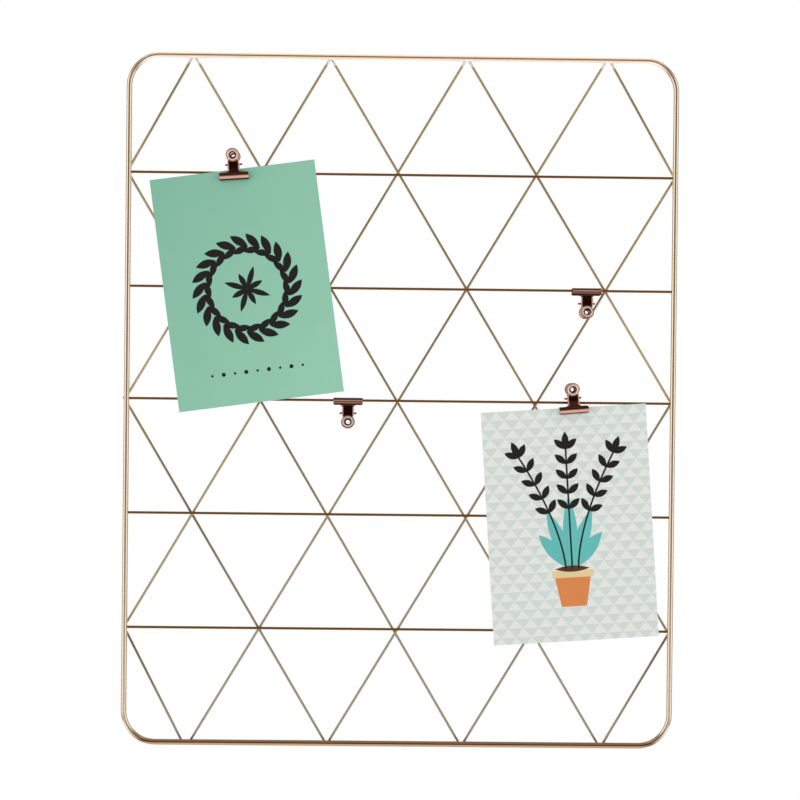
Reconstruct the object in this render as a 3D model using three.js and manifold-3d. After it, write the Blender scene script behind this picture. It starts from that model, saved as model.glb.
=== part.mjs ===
// Wall grid photo display: a rounded wire frame filled with a welded lattice of triangles, four
// spring clips that ride on the row wires, and two postcards held by two of the clips.
// Millimetres, +Z up. The viewer stands at -Y and the wall is at +Y. The origin lies under the
// middle of the top bar, where a wall hook carries the frame.

import * as THREE from 'three';
import { mergeVertices } from 'three/addons/utils/BufferGeometryUtils.js';
import Module from 'manifold-3d';

const wasm = await Module();
wasm.setup();

// Frame and lattice
const frameWidth = 350; // outside
const frameHeight = 438.7; // outside
const rodDiameter = 3.6;
const frameCornerRadius = 20; // at the rod's centre line
const wireDiameter = 1.6;
const columns = 4; // triangles across
const rows = 6;
const topRowExtra = 1.3; // the top row is this much taller than the others
const latticeShift = -1.8; // the lattice sits this far to the left in the frame
const rowSlip = [-0.4, -0.25, 0.9, 0.75, 0.35]; // how far above its line each row wire was welded
// How far to the right of its line each diagonal was welded, at its upper and its lower end
const risingSlip = [
  [-2.6, 0.4], [-2, 0.2], [-2.6, 1], [-0.2, 0.3], [2, 1.5], [0.6, 0.8], [2, 3.1],
];
const fallingSlip = [
  [0.6, -5.4], [0.2, -0.7], [0.6, -1.8], [0, 0.3], [-0.3, 0.8], [0.5, 2.3], [4.4, 2],
];
const weldGap = 0.1; // between wires that are welded where they touch
const wireTail = 0.9; // how far a diagonal runs past the rod's centre line
const longTail = 2.75; // the one end that was left long, seen outside the left bar

// Clip plates, measured from the hinge pin down to the jaws and up to the ring
const sheet = 0.5;
const jawWidth = 18.5;
const jawRadius = 2.75; // outside of the rolled jaw
const jawDrop = 7.15; // pin to the axis of the roll
const jawOut = 0.9; // mid-plane to the axis of the roll
const lipGap = 0.3; // between the lips of an empty clip
const jawCorner = 1; // rounding of the jaw's upper corners
const shoulderWidth = 1; // how far the neck flares out at each side of its foot
const shoulderRise = 1.6;
const handleBend = 1; // height above the pin where the handle splays out
const handleSplay = THREE.MathUtils.degToRad(20);
const ringHeight = 5.5; // pin to the ring's centre
const ringRadius = 4.25;
const ringHoleRadius = 2.25;
const eyeletTube = 0.55; // half the width of the eyelet's raised rim
const earReach = 1.6; // radius of an ear's round end
const earGap = 0.25; // between neighbouring ears and heads along the pin

// Hinge pin and spring
const pinDiameter = 0.8;
const pinClearance = 0.18;
const pinHeadDiameter = 1.25; // the upset ends, too thick for the holes in the ears
const pinHeadLength = 1.55;
const springWire = 0.6;
const coilDiameter = 3.5; // at the middle of the wire
const coilTurns = 3;
const coilWidth = 3.2; // along the pin, between the centres of the end turns
const coilPlay = 0.5; // from each end turn to the ear beside it
const springLeg = 3.6;

// Cards, and how the clips and cards sit
const cardWidth = 105;
const cardHeight = 148;
const cardThickness = 0.35;
const seatGap = 0.3; // left between pieces that rest on or grip each other
const leftCardTilt = THREE.MathUtils.degToRad(7.9);
const rightCardTilt = THREE.MathUtils.degToRad(3.9);
const leftCardEdge = 11.4; // nearest corner of the card to the frame's inner edge
const rightCardEdge = 5.4;
const leftCardInsert = 6.4; // how deep the card goes in past the lips
const rightCardInsert = 3.6;
const leftClipTilt = THREE.MathUtils.degToRad(4);
const rightClipTilt = THREE.MathUtils.degToRad(5);
const leftClipRise = 5.1; // the left card's clip grips the wire this far under its pin
const clipToCard = 1; // the least from a spare clip to a card beside it
const leftClipGap = 9.25; // from the end of each clip's jaw to the crossing beside it
const rightClipGap = 15.55;
const upperClipGap = 1.1;
const lowerClipGap = 21.95;

// Facets of the round shapes
const rodSides = 12; // also the wires
const cornerSteps = 4;
const jawSteps = 8;
const pinSides = 10;
const earSteps = 4;
const springSides = 6;
const stepsPerTurn = 10;
const eyeletSides = 16;
const eyeletSteps = 6;

// Worked out from the above
const rodRadius = rodDiameter / 2;
const wireRadius = wireDiameter / 2;
const spanX = frameWidth - rodDiameter; // between the bars' centre lines
const spanZ = frameHeight - rodDiameter;
const topZ = rodRadius;
const bottomZ = topZ - spanZ;
const innerHalf = spanX / 2 - rodRadius; // from the middle to the side bars' inner edges
const pitch = spanX / columns;
const rowPitch = (spanZ - topRowExtra) / rows;
const latticeLeft = -spanX / 2 + latticeShift;
const risingY = rodRadius + weldGap + wireRadius;
const rowY = risingY - wireDiameter - weldGap;
const fallingY = risingY + wireDiameter + weldGap;
const cardY = rowY - wireRadius - seatGap - cardThickness / 2;
const jawInner = jawRadius - sheet;
const jawMiddle = jawRadius - sheet / 2;
const lipAngle = -Math.acos((lipGap / 2 - jawOut) / jawMiddle);
const lipDrop = jawDrop - jawMiddle * Math.sin(lipAngle); // pin to the grip line
const coilRadius = coilDiameter / 2;
const coilOutside = coilRadius + springWire / 2;

// Mid-plane to the inside of a plate: just above the jaw, where a card and a row wire fit in, and
// at the pin, where the legs of the spring lie along the handles
const waistDepth = cardThickness / 2 + wireDiameter + 2 * seatGap;
const legRoom = coilOutside + seatGap + handleBend * Math.sin(handleSplay);
const neckDepth = legRoom / Math.cos(handleSplay);
const rearEarSpan = coilWidth + springWire + 2 * coilPlay; // inside the rear plate's ears

const rowZ = (row) => bottomZ + (rows - row) * rowPitch; // where the diagonals cross
const rowWireZ = (row) => rowZ(row) + rowSlip[(row - 1) % rowSlip.length];
const crossingX = (column) => latticeLeft + column * pitch;

// Finishes
const finish = (color, roughness, metalness) =>
  new THREE.MeshStandardMaterial({ color, roughness, metalness });
const paleCopper = finish(0xc79f78, 0.22, 1);
const roseCopper = finish(0xb9735a, 0.2, 1);
const pinSteel = finish(0x6b564c, 0.35, 1);
const springSteel = finish(0x8d8a86, 0.35, 1);
const mintPaper = finish(0x8bc4aa, 0.8, 0);
const palePaper = finish(0xdfe4df, 0.8, 0);

const group = new THREE.Group();

function addMesh(parent, name, geometry, material) {
  const mesh = new THREE.Mesh(geometry, material);
  mesh.name = name;
  parent.add(mesh);
  return mesh;
}

// The section of a rod or wire: flats on its four sides, its diameter across them
function roundSection(diameter, sides) {
  const corner = diameter / 2 / Math.cos(Math.PI / sides);
  const points = [];
  for (let i = 0; i < sides; i += 1) {
    const angle = ((i + 0.5) * 2 * Math.PI) / sides;
    points.push(new THREE.Vector2(corner * Math.cos(angle), corner * Math.sin(angle)));
  }
  return new THREE.Shape(points);
}

// Boolean joins and cuts

function toSolid(geometry) {
  const bare = geometry.clone();
  bare.deleteAttribute('normal');
  bare.deleteAttribute('uv');
  const merged = mergeVertices(bare, 1e-4);
  const mesh = new wasm.Mesh({
    numProp: 3,
    vertProperties: new Float32Array(merged.attributes.position.array),
    triVerts: new Uint32Array(merged.index.array),
  });
  return new wasm.Manifold(mesh);
}

function toGeometry(solid) {
  const mesh = solid.getMesh();
  const geometry = new THREE.BufferGeometry();
  geometry.setAttribute('position', new THREE.BufferAttribute(mesh.vertProperties, 3));
  geometry.setIndex(new THREE.BufferAttribute(mesh.triVerts, 1));
  return geometry;
}

// Frame rod: a flat ring whose bevel rounds it to the rod's section

function roundedRectangle(path, width, height, radius) {
  const x = width / 2 - radius;
  const y = height / 2 - radius;
  path.absarc(x, y, radius, 0, Math.PI / 2);
  path.absarc(-x, y, radius, Math.PI / 2, Math.PI);
  path.absarc(-x, -y, radius, Math.PI, 1.5 * Math.PI);
  path.absarc(x, -y, radius, 1.5 * Math.PI, 2 * Math.PI);
  path.closePath();
  return path;
}

function frameRodGeometry() {
  const flat = rodRadius * Math.tan(Math.PI / rodSides);
  const outer = [spanX + 2 * flat, spanZ + 2 * flat, frameCornerRadius + flat];
  const inner = [spanX - 2 * flat, spanZ - 2 * flat, frameCornerRadius - flat];
  const ring = roundedRectangle(new THREE.Shape(), ...outer);
  ring.holes.push(roundedRectangle(new THREE.Path(), ...inner));
  const geometry = new THREE.ExtrudeGeometry(ring, {
    depth: 2 * flat,
    bevelThickness: rodRadius - flat,
    bevelSize: rodRadius - flat,
    bevelSegments: rodSides / 4 - 1,
    curveSegments: cornerSteps,
  });
  geometry.translate(0, 0, -flat);
  geometry.rotateX(Math.PI / 2);
  return geometry;
}

const frameRod = addMesh(group, 'frame_rod', frameRodGeometry(), paleCopper);
frameRod.position.z = (topZ + bottomZ) / 2;

// Lattice wires: many-sided rods with a flat towards the front and the back

function wireGeometry(length) {
  const section = roundSection(wireDiameter, rodSides);
  const geometry = new THREE.ExtrudeGeometry(section, { depth: length, bevelEnabled: false });
  geometry.translate(0, 0, -length / 2);
  return geometry;
}

function addWire(name, from, to, depth) {
  const run = to.clone().sub(from);
  const wire = addMesh(group, name, wireGeometry(run.length()), paleCopper);
  wire.position.set((from.x + to.x) / 2, depth, (from.y + to.y) / 2);
  wire.rotation.y = Math.atan2(run.x, run.y);
}

const rowEnd = innerHalf - weldGap;
for (let row = 1; row < rows; row += 1) {
  const z = rowWireZ(row);
  addWire(`row_wire_${row}`, new THREE.Vector2(-rowEnd, z), new THREE.Vector2(rowEnd, z), rowY);
}

// How far down from the lattice's top line a diagonal through its point x comes in behind the
// frame's bars and goes out again
function diagonalRun(x, sideways, leftTail) {
  const leftDrop = (-spanX / 2 - leftTail - x) / sideways;
  const rightDrop = (spanX / 2 + wireTail - x) / sideways;
  const enter = Math.max(rowZ(0) - topZ - wireTail, Math.min(leftDrop, rightDrop));
  const leave = Math.min(rowZ(0) - bottomZ + wireTail, Math.max(leftDrop, rightDrop));
  return { enter, leave };
}

// A diagonal on the line through the point x of the lattice's top line, off it by its slip
function addDiagonal(name, x, slant, depth, leftTail, [slipAbove, slipBelow]) {
  const even = (slant * pitch) / 2 / rowPitch; // sideways for each millimetre down
  const plan = diagonalRun(x, even, leftTail);
  const lean = (slipBelow - slipAbove) / (plan.leave - plan.enter);
  const sideways = even + lean;
  const top = x + slipAbove - lean * plan.enter;
  const run = diagonalRun(top, sideways, leftTail);
  const at = (drop) => new THREE.Vector2(top + sideways * drop, rowZ(0) - drop);
  addWire(name, at(run.enter), at(run.leave), depth);
}

const diagonals = columns + rows / 2;
const longTailed = 2; // counted from the lower left
for (let i = 0; i < diagonals; i += 1) {
  const x = crossingX(i + 0.5);
  const slip = risingSlip[i % risingSlip.length];
  addDiagonal(`rising_wire_${i + 1}`, x, -1, risingY, wireTail, slip);
}
for (let i = 0; i < diagonals; i += 1) {
  const x = crossingX(i + 0.5 - rows / 2);
  const tail = i + 1 === longTailed ? longTail : wireTail;
  const slip = fallingSlip[i % fallingSlip.length];
  addDiagonal(`falling_wire_${i + 1}`, x, 1, fallingY, tail, slip);
}

// Clip plates: a bent sheet cut to the plate's outline, with ears and an eyelet rim.
// In a plate's own axes x runs along the pin, y points outwards and z up to the ring.

function bentSheetProfile() {
  const inner = [];
  const upperAngle = Math.acos((waistDepth - jawOut) / jawInner);
  for (let i = 0; i <= jawSteps; i += 1) {
    const angle = THREE.MathUtils.lerp(lipAngle, upperAngle, i / jawSteps);
    const y = jawOut + jawInner * Math.cos(angle);
    const z = -jawDrop + jawInner * Math.sin(angle);
    inner.push(new THREE.Vector2(y, z));
  }
  const handleLength = (ringHeight + ringRadius - handleBend) / Math.cos(handleSplay);
  inner.push(new THREE.Vector2(neckDepth, -earReach));
  inner.push(new THREE.Vector2(neckDepth, handleBend));
  inner.push(new THREE.Vector2(
    neckDepth + handleLength * Math.sin(handleSplay),
    handleBend + handleLength * Math.cos(handleSplay),
  ));
  const outer = inner.map((point, i) => {
    const before = inner[Math.max(i - 1, 0)];
    const after = inner[Math.min(i + 1, inner.length - 1)];
    const along = i === 0 ? after.clone().sub(point) : point.clone().sub(before);
    const next = i === inner.length - 1 ? along.clone() : after.clone().sub(point);
    const a = new THREE.Vector2(along.y, -along.x).normalize();
    const b = new THREE.Vector2(next.y, -next.x).normalize();
    const mitre = a.clone().add(b).normalize();
    return point.clone().addScaledVector(mitre, sheet / mitre.dot(a));
  });
  return new THREE.Shape([...inner, ...outer.reverse()]);
}

// Lays a shape drawn in (y, z) across the plate from x = -width / 2 to width / 2
function acrossPlate(shape, width) {
  const options = { depth: width, bevelEnabled: false, curveSegments: earSteps };
  const geometry = new THREE.ExtrudeGeometry(shape, options);
  geometry.translate(0, 0, -width / 2);
  geometry.applyMatrix4(new THREE.Matrix4().makeBasis(
    new THREE.Vector3(0, 1, 0), new THREE.Vector3(0, 0, 1), new THREE.Vector3(1, 0, 0),
  ));
  return geometry;
}

// The plate seen from the front: jaw, flared shoulders, neck of the given half width, ring with
// its hole
function plateOutline(neck) {
  const jawHalf = jawWidth / 2;
  const jawTop = -jawDrop + Math.sqrt(jawRadius ** 2 - (waistDepth + sheet - jawOut) ** 2);
  const jawBottom = -jawDrop - jawRadius - sheet;
  const ringTall = ringRadius * Math.cos(handleSplay);
  const ringJoin = Math.acos(Math.min(neck / ringRadius, 1));
  const shoulder = neck + shoulderWidth;
  const outline = new THREE.Shape();
  outline.moveTo(-jawHalf, jawBottom);
  outline.lineTo(jawHalf, jawBottom);
  outline.lineTo(jawHalf, jawTop - jawCorner);
  outline.quadraticCurveTo(jawHalf, jawTop, jawHalf - jawCorner, jawTop);
  outline.lineTo(shoulder, jawTop);
  outline.quadraticCurveTo(neck, jawTop, neck, jawTop + shoulderRise);
  outline.absellipse(0, ringHeight, ringRadius, ringTall, -ringJoin, Math.PI + ringJoin);
  outline.lineTo(-neck, jawTop + shoulderRise);
  outline.quadraticCurveTo(-neck, jawTop, -shoulder, jawTop);
  outline.lineTo(-jawHalf + jawCorner, jawTop);
  outline.quadraticCurveTo(-jawHalf, jawTop, -jawHalf, jawTop - jawCorner);
  outline.closePath();
  const hole = new THREE.Path();
  const holeTall = ringHoleRadius * Math.cos(handleSplay);
  hole.absellipse(0, ringHeight, ringHoleRadius, holeTall, 0, 2 * Math.PI, true);
  outline.holes.push(hole);
  return outline;
}

function earGeometry() {
  const ear = new THREE.Shape();
  ear.moveTo(neckDepth + sheet / 2, earReach);
  ear.lineTo(0, earReach);
  ear.absarc(0, 0, earReach, Math.PI / 2, 1.5 * Math.PI);
  ear.lineTo(neckDepth + sheet / 2, -earReach);
  ear.closePath();
  const hole = new THREE.Path();
  hole.absarc(0, 0, pinDiameter / 2 + pinClearance, 0, 2 * Math.PI, true);
  ear.holes.push(hole);
  return acrossPlate(ear, sheet);
}

function eyeletGeometry() {
  const middle = ringHoleRadius + eyeletTube;
  const rim = new THREE.TorusGeometry(middle, eyeletTube, eyeletSteps, eyeletSides);
  rim.rotateX(-Math.PI / 2 - handleSplay);
  const outward = neckDepth + (ringHeight - handleBend) * Math.tan(handleSplay) + sheet;
  rim.translate(0, outward, ringHeight);
  return rim;
}

function plateGeometry(earSpan) {
  const outlineDepth = neckDepth + jawRadius + 2 * ringRadius;
  const outline = new THREE.ExtrudeGeometry(plateOutline(earSpan / 2 + sheet), {
    depth: 2 * outlineDepth,
    bevelEnabled: false,
    curveSegments: 2 * cornerSteps,
  });
  outline.translate(0, 0, -outlineDepth);
  outline.rotateX(Math.PI / 2);
  const bent = acrossPlate(bentSheetProfile(), jawWidth + 2 * sheet);
  let plate = toSolid(bent).intersect(toSolid(outline));
  for (const side of [-1, 1]) {
    const ear = earGeometry();
    ear.translate((side * (earSpan + sheet)) / 2, 0, 0);
    plate = plate.add(toSolid(ear));
  }
  return toGeometry(plate.add(toSolid(eyeletGeometry())));
}

const frontEarSpan = rearEarSpan + 2 * (sheet + earGap);
const rearPlate = plateGeometry(rearEarSpan);
const frontPlate = plateGeometry(frontEarSpan);

function pinGeometry() {
  const headInside = frontEarSpan / 2 + sheet + earGap;
  const headOutside = headInside + pinHeadLength;
  const profile = [
    [0, -headOutside],
    [pinHeadDiameter / 2, -headOutside],
    [pinHeadDiameter / 2, -headInside],
    [pinDiameter / 2, -headInside],
    [pinDiameter / 2, headInside],
    [pinHeadDiameter / 2, headInside],
    [pinHeadDiameter / 2, headOutside],
    [0, headOutside],
  ].map(([r, y]) => new THREE.Vector2(r, y));
  const pin = new THREE.LatheGeometry(profile, pinSides);
  pin.rotateZ(-Math.PI / 2);
  return pin;
}

// One wire: down the front leg, round the pin and up the rear leg. The legs lie along the handles
// of plates that are held open by the angle given.
class SpringPath extends THREE.Curve {
  constructor(openAngle) {
    super();
    this.lean = handleSplay - openAngle;
    this.startAngle = Math.PI + this.lean;
    this.endAngle = 2 * Math.PI * (coilTurns + 1) - this.lean;
    this.coilLength = coilRadius * (this.endAngle - this.startAngle);
  }

  getPoint(t, target = new THREE.Vector3()) {
    const along = t * (this.coilLength + 2 * springLeg) - springLeg;
    const onCoil = THREE.MathUtils.clamp(along, 0, this.coilLength);
    const share = onCoil / this.coilLength;
    const angle = THREE.MathUtils.lerp(this.startAngle, this.endAngle, share);
    const past = along - onCoil; // along a leg, below zero on the front one
    return target.set(
      coilWidth * (share - 0.5),
      coilRadius * Math.cos(angle) - past * Math.sin(angle),
      coilRadius * Math.sin(angle) + past * Math.cos(angle),
    );
  }
}

function springGeometry(openAngle) {
  return new THREE.ExtrudeGeometry(roundSection(springWire, springSides), {
    extrudePath: new SpringPath(openAngle),
    steps: (coilTurns + 1) * stepsPerTurn,
    bevelEnabled: false,
  });
}

// A clip at its pin, turned by tilt in the plane of the grid, its plates held open by openAngle
function addClip(name, pinPlace, tilt, openAngle) {
  const clip = new THREE.Group();
  clip.position.copy(pinPlace);
  clip.rotation.y = -tilt;
  group.add(clip);
  const rear = addMesh(clip, `${name}_rear_plate`, rearPlate, roseCopper);
  rear.rotation.x = openAngle;
  const front = addMesh(clip, `${name}_front_plate`, frontPlate, roseCopper);
  front.rotation.set(-openAngle, 0, Math.PI);
  addMesh(clip, `${name}_pin`, pinGeometry(), pinSteel);
  addMesh(clip, `${name}_spring`, springGeometry(openAngle), springSteel);
}

// Empty clips hang upside down from the row wire that runs through their jaws
const jawSeat = jawDrop - jawInner * Math.sin(lipAngle) - wireRadius - seatGap;
function addSpareClip(name, row, jawRight) {
  const pinPlace = new THREE.Vector3(jawRight - jawWidth / 2, rowY, rowWireZ(row) - jawSeat);
  addClip(name, pinPlace, Math.PI, 0);
}
addSpareClip('upper_spare_clip', 2, crossingX(3.5) - upperClipGap);

// The clips that hold cards stand open by the card's thickness, with the card in their mid-plane
const gripOpen = cardThickness / 2 + seatGap - lipGap / 2;
const gripAngle = Math.asin(gripOpen / lipDrop);

// The card's top edge passes the given depth above the clip's lips, and the corner that is nearest
// to the side bar on the given side (-1 left, 1 right) keeps the given distance to it.
function addCard(name, material, pinPlace, clipTilt, insert, tilt, side, edge) {
  const gripX = pinPlace.x + (lipDrop - insert) * Math.sin(clipTilt);
  const gripZ = pinPlace.z - (lipDrop - insert) * Math.cos(clipTilt);
  const up = new THREE.Vector2(-Math.sin(tilt), Math.cos(tilt));
  const across = new THREE.Vector2(Math.cos(tilt), Math.sin(tilt));
  const reach = (cardWidth / 2) * across.x - (cardHeight / 2) * up.x;
  const x = side * (innerHalf - edge - reach);
  const topX = x + (cardHeight / 2) * up.x;
  const topZAtMiddle = gripZ - (gripX - topX) * Math.tan(tilt);
  const z = topZAtMiddle - (cardHeight / 2) * up.y;
  const card = addMesh(group, name, new THREE.BoxGeometry(cardWidth, cardThickness, cardHeight), material);
  card.position.set(x, cardY, z);
  card.rotation.y = -tilt;
  return card;
}

const leftPin = new THREE.Vector3(
  crossingX(1) - leftClipGap - jawWidth / 2, cardY, rowWireZ(1) + leftClipRise,
);
addClip('left_card_clip', leftPin, leftClipTilt, gripAngle);
const leftCard = addCard(
  'left_card', mintPaper, leftPin, leftClipTilt, leftCardInsert, leftCardTilt, -1, leftCardEdge,
);

// The lower spare clip hangs just under the left card's lower right corner, or to the right of it
// where the card reaches down past the clip's jaw
const leftCorner = new THREE.Vector3(cardWidth / 2, 0, -cardHeight / 2);
leftCorner.applyEuler(leftCard.rotation).add(leftCard.position);
const jawTopZ = rowWireZ(3) - jawSeat + jawDrop + jawRadius;
const cardPassesJaw = leftCorner.z < jawTopZ + clipToCard;
const lowerJawRight = crossingX(2) - lowerClipGap;
const clearOfCard = leftCorner.x + clipToCard + jawWidth;
const lowerPlace = cardPassesJaw ? Math.max(lowerJawRight, clearOfCard) : lowerJawRight;
addSpareClip('lower_spare_clip', 3, lowerPlace);

// The right card's clip hangs with its coil on the wire, which lies behind the clip's mid-plane
const coilSeat = Math.sqrt((coilOutside + wireRadius + seatGap) ** 2 - (rowY - cardY) ** 2);
const rightPin = new THREE.Vector3(
  crossingX(3) + rightClipGap + jawWidth / 2, cardY, rowWireZ(3) + coilSeat,
);
addClip('right_card_clip', rightPin, rightClipTilt, gripAngle);
addCard(
  'right_card', palePaper, rightPin, rightClipTilt, rightCardInsert, rightCardTilt, 1, rightCardEdge,
);

export default group;
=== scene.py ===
import math

import bmesh
import bpy
from mathutils import Matrix, Vector


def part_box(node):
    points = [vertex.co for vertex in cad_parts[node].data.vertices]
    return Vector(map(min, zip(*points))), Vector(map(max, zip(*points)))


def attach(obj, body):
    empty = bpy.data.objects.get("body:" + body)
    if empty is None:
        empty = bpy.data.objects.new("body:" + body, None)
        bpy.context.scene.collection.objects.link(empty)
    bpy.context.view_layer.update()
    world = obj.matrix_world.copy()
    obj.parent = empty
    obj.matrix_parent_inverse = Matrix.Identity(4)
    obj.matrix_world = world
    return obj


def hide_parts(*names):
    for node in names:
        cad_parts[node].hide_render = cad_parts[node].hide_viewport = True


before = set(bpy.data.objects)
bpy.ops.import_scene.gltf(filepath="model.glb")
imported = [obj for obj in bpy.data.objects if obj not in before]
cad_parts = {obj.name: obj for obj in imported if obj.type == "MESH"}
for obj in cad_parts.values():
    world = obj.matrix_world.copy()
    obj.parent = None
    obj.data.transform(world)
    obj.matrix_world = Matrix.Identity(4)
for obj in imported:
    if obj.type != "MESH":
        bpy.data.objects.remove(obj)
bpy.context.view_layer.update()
print("frame loaded,", len(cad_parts), "nodes")

scene = bpy.context.scene
mm = 0.001  # pieces are drawn in millimetres and shrunk to metres when they are done
slack = 0.01  # places that lie closer together than this count as one


def feed(tree, socket, value):
    # the value is another node's output, a colour or a number
    if isinstance(value, bpy.types.NodeSocket):
        tree.links.new(value, socket)
    elif isinstance(value, tuple):
        socket.default_value = (*value, 1)
    else:
        socket.default_value = value


def addNode(tree, kind, **sockets):
    node = tree.nodes.new(kind)
    for name, value in sockets.items():
        feed(tree, node.inputs[name], value)
    return node


def mathNode(tree, operation, *values):
    node = tree.nodes.new("ShaderNodeMath")
    node.operation = operation
    for socket, value in zip(node.inputs, values):
        feed(tree, socket, value)
    return node.outputs[0]


def mixColour(tree, factor, first, second):
    node = tree.nodes.new("ShaderNodeMix")
    node.data_type = "RGBA"
    for i, value in ((0, factor), (6, first), (7, second)):
        feed(tree, node.inputs[i], value)
    return node.outputs[2]


def mapRange(tree, value, source=(0, 1), target=(0, 1), kind="LINEAR"):
    node = tree.nodes.new("ShaderNodeMapRange")
    node.interpolation_type = kind
    for socket, number in zip(node.inputs[1:5], (*source, *target)):
        socket.default_value = number
    tree.links.new(value, node.inputs[0])
    return node.outputs[0]


def smoothMask(tree, value, limits):
    # nothing at the first limit, all at the second
    return mapRange(tree, value, source=limits, kind="SMOOTHSTEP")


def mixShaders(tree, factor, first, second, output):
    mix = tree.nodes.new("ShaderNodeMixShader")
    for socket, value in zip(mix.inputs, (factor, first.outputs[0], second.outputs[0])):
        tree.links.new(value, socket)
    tree.links.new(mix.outputs[0], tree.nodes[output].inputs["Surface"])


def noiseGroup(name, noises):
    # one mask for each noise, at a scale that the material sets
    tree = bpy.data.node_groups.new(name, "ShaderNodeTree")
    tree.interface.new_socket(name="Vector", in_out="INPUT", socket_type="NodeSocketVector")
    for label in noises:
        tree.interface.new_socket(name=label + " Scale", in_out="INPUT", socket_type="NodeSocketFloat")
        tree.interface.new_socket(name=label, in_out="OUTPUT", socket_type="NodeSocketFloat")
    given = tree.nodes.new("NodeGroupInput").outputs
    masks = tree.nodes.new("NodeGroupOutput").inputs
    for label, (detail, roughness) in noises.items():
        noise = addNode(
            tree, "ShaderNodeTexNoise", Vector=given["Vector"], Scale=given[label + " Scale"],
            Detail=detail, Roughness=roughness,
        )
        tree.links.new(noise.outputs[0], masks[label])
    return tree


# detail and roughness of each noise: cloudy tone and fine polishing marks on the metal,
# uneven printing and the fibres of the board on the cards
platingTree = noiseGroup("plating", {"Cloud": (3, 0.5), "Marks": (5, 0.65)})
boardTree = noiseGroup("board", {"Mottle": (6, 0.6), "Fibre": (4, 0.7)})


def addGroup(tree, group, place, **scales):
    node = tree.nodes.new("ShaderNodeGroup")
    node.node_tree = group
    tree.links.new(place, node.inputs["Vector"])
    for label, scale in scales.items():
        node.inputs[label + " Scale"].default_value = scale
    return node.outputs


def newMaterial(name):
    material = bpy.data.materials.new(name)
    material.use_nodes = True
    tree = material.node_tree
    place = tree.nodes.new("ShaderNodeTexCoord").outputs["Object"]
    return material, tree, tree.nodes["Principled BSDF"], place


def addBump(tree, shader, height, strength, distance):
    bump = addNode(tree, "ShaderNodeBump", Strength=strength, Distance=distance, Height=height)
    tree.links.new(bump.outputs[0], shader.inputs["Normal"])


def toneOver(tree, mask, tone):
    colour = tree.nodes["Principled BSDF"].inputs["Base Color"]
    tree.links.new(mixColour(tree, mask, colour.links[0].from_socket, tone), colour)


# each metal: its tones, roughness, the scales of its clouds and marks, and how much the marks show.
# Bands are tones by height, in metres, from where each begins to where it is full; the rod's bands are
# painted reflections and highlights.
finishes = {
    "rodCopper": {
        "pale": (0.97, 0.84, 0.67), "deep": (0.91, 0.77, 0.60), "rough": (0.17, 0.21),
        "scales": (60, 900), "bump": 0.002,
        "bands": (
            # painted reflections and highlights: the bottom corners deeper, the bottom bar dark above and
            # pale below, the top bar pale
            ((0.46, 0.30, 0.175), (-0.422, -0.4325)),
            ((0.25, 0.145, 0.08), (-0.4302, -0.4318)),  # painted reflection: the bottom bar is dark along its top
            ((0.55, 0.37, 0.225), (-0.4328, -0.4336)),
            ((1, 0.94, 0.86), (-0.004, -0.0005)),
            ((0.84, 0.62, 0.42), (0.0005, 0.0010)),  # painted reflection: the top bar is tan between painted highlights on its edges
            ((1, 0.94, 0.86), (0.0023, 0.0030)),
        ),
    },
    "wireCopper": {
        "pale": (0.60, 0.465, 0.28), "deep": (0.49, 0.37, 0.22), "rough": (0.22, 0.28),
        "scales": (60, 900), "bump": 0.003,
        "bands": (
            ((0.40, 0.335, 0.23), (-0.14, -0.40)),  # greyer towards the bottom
            ((1, 0.93, 0.84), (-0.0034, -0.0022)),  # painted highlight: bright tips under the top bar
        ),
    },
    # painted reflection: the rows are a darker copy of the wire's copper
    "rowCopperPaintedReflection": {
        "pale": (0.225, 0.11, 0.028), "deep": (0.175, 0.082, 0.020), "rough": (0.24, 0.32),
        "scales": (60, 900), "bump": 0.004,
    },
    "weldCopper": {
        "pale": (0.49, 0.37, 0.22), "deep": (0.66, 0.34, 0.25), "rough": (0.25, 0.45),
        "scales": (900, 2500), "bump": 0.2,
    },
    # the rose plates carry a painted shade tone, laid on by their shade attribute
    "roseCopper": {
        "pale": (0.80, 0.47, 0.37), "deep": (0.66, 0.34, 0.25), "rough": (0.12, 0.26),
        "scales": (220, 1600), "bump": 0.04, "paintedShade": (0.055, 0.021, 0.016),
    },
    # painted highlight: the eyelet rim is a pale copy of the plate's copper, with painted shade too
    "eyeletCopperPaintedHighlight": {
        "pale": (0.95, 0.88, 0.84), "deep": (0.88, 0.76, 0.70), "rough": (0.12, 0.2),
        "scales": (400, 1800), "bump": 0.01, "paintedShade": (0.055, 0.021, 0.016),
    },
    "pinSteel": {
        "pale": (0.30, 0.20, 0.17), "deep": (0.20, 0.13, 0.11), "rough": (0.25, 0.42),
        "scales": (500, 2200), "bump": 0.04,
    },
    "springSteel": {
        "pale": (0.55, 0.53, 0.50), "deep": (0.38, 0.36, 0.34), "rough": (0.2, 0.4),
        "scales": (600, 2400), "bump": 0.04,
    },
}
plating = {"cloudShare": (0.1, 0.9), "markDepth": 0.0001}


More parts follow.
